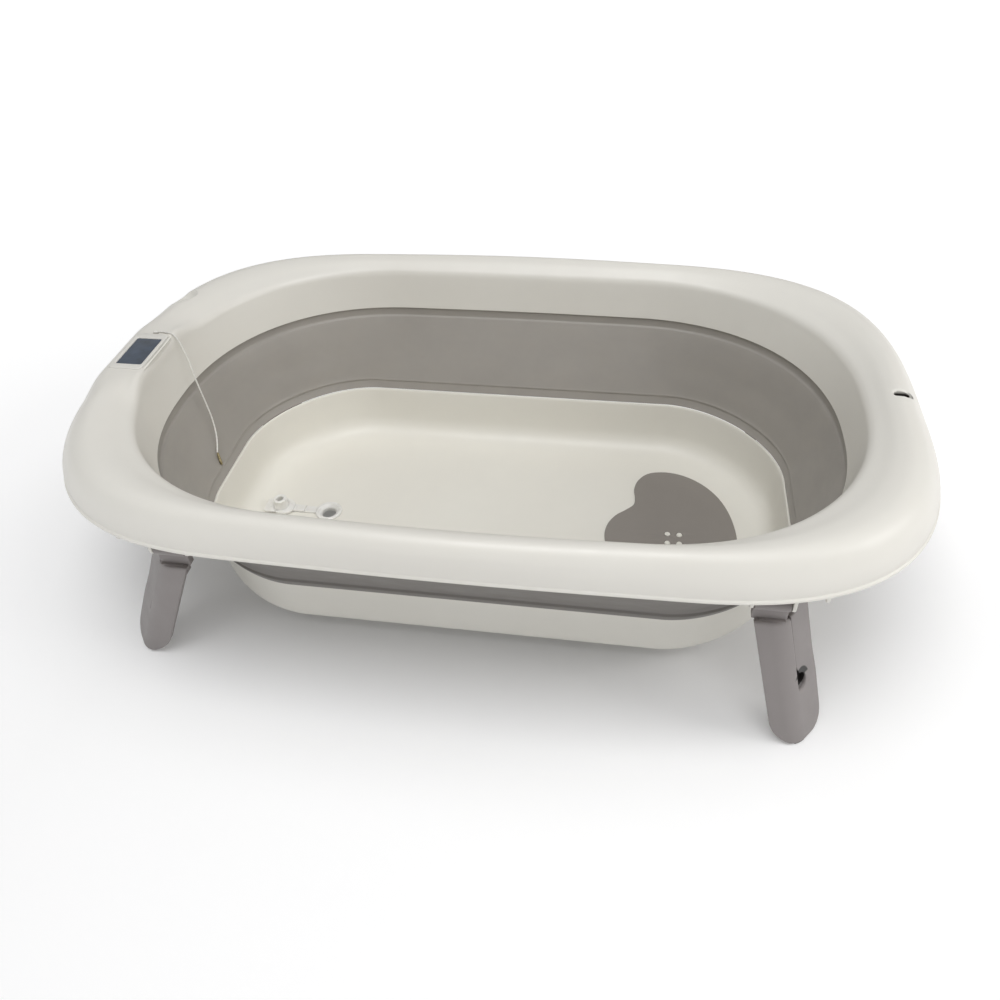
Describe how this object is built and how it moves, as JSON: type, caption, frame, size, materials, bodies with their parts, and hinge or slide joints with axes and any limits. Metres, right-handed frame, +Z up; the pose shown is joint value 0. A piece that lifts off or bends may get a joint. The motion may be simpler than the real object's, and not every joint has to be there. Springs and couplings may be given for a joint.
{
  "type": "foldable baby bathtub",
  "caption": "Oval fold-flat infant bath on folding legs: moulded rim, soft collapsible wall, rigid base with flip-over drain plug, and a rim thermometer with a wired probe.",
  "frame": {"origin": "below the middle of the rim, on the floor under the four feet", "axes": "+X along the length towards the end with the hanging hole, +Y across the tub, +Z up"},
  "size_m": [0.816, 0.4952, 0.2408],
  "materials": {
    "cream_pp": "satin moulded polypropylene",
    "grey_tpe": "matte soft thermoplastic rubber",
    "grey_pp": "satin moulded polypropylene",
    "pad_tpe": "fine matte soft thermoplastic rubber",
    "silicone": "milky translucent silicone",
    "cell_steel": "brushed",
    "nickel": "plated spring strip",
    "board_green": "solder mask",
    "lcd_glass": "liquid crystal panel",
    "smoked_window": "tinted clear cover",
    "white_pvc": "smooth sheath",
    "brass": "satin turned metal",
    "sole_rubber": "matte grip rubber",
    "pin_steel": "ground steel"
  },
  "bodies": {
    "rim": {"rim_shell": "cream_pp", "bellows_wall": "grey_tpe", "thermo_case": "cream_pp", "battery_door": "cream_pp", "coin_cell": "cell_steel", "contact_negative": "nickel", "contact_positive": "nickel", "thermo_board": "board_green", "thermo_lcd": "lcd_glass", "thermo_bezel": "cream_pp", "thermo_window": "smoked_window", "wire_grommet": "white_pvc", "probe_wire": "white_pvc", "probe_tip": "brass", "hinge_pin_near_right": "pin_steel", "hinge_pin_near_left": "pin_steel", "hinge_pin_far_right": "pin_steel", "hinge_pin_far_left": "pin_steel"},
    "base": {"base_tray": "cream_pp", "base_wall": "cream_pp", "floor_pad": "pad_tpe", "drain_seat": "silicone"},
    "plug": {"drain_cap": "silicone"},
    "leg_near_right": {"leg_near_right": "grey_pp", "foot_sole_near_right": "sole_rubber"},
    "leg_near_left": {"leg_near_left": "grey_pp", "foot_sole_near_left": "sole_rubber"},
    "leg_far_right": {"leg_far_right": "grey_pp", "foot_sole_far_right": "sole_rubber"},
    "leg_far_left": {"leg_far_left": "grey_pp", "foot_sole_far_left": "sole_rubber"}
  },
  "joints": [
    {"name": "base_lift", "type": "slide", "parent": "rim", "child": "base", "axis": [0, 0, 1], "range_m": [0, 0.145], "deforming": ["bellows_wall"]},
    {"name": "plug_flip", "type": "hinge", "parent": "base", "child": "plug", "pos_m": [-0.2328, 0, 0.0298], "axis": [0, 1, 0], "range_deg": [0, 180]},
    {"name": "leg_fold_near_right", "type": "hinge", "parent": "rim", "child": "leg_near_right", "pos_m": [0.263, -0.208, 0.168], "axis": [1, 0, 0], "range_deg": [0, 75]},
    {"name": "leg_fold_near_left", "type": "hinge", "parent": "rim", "child": "leg_near_left", "pos_m": [-0.263, -0.208, 0.168], "axis": [1, 0, 0], "range_deg": [0, 75]},
    {"name": "leg_fold_far_right", "type": "hinge", "parent": "rim", "child": "leg_far_right", "pos_m": [0.263, 0.208, 0.168], "axis": [-1, 0, 0], "range_deg": [0, 75]},
    {"name": "leg_fold_far_left", "type": "hinge", "parent": "rim", "child": "leg_far_left", "pos_m": [-0.263, 0.208, 0.168], "axis": [-1, 0, 0], "range_deg": [0, 75]}
  ],
  "couplings": [
    {"joint": "leg_fold_near_right", "follows": "base_lift", "rad_per_m": 9.02},
    {"joint": "leg_fold_near_left", "follows": "base_lift", "rad_per_m": 9.02},
    {"joint": "leg_fold_far_right", "follows": "base_lift", "rad_per_m": 9.02},
    {"joint": "leg_fold_far_left", "follows": "base_lift", "rad_per_m": 9.02}
  ]
}
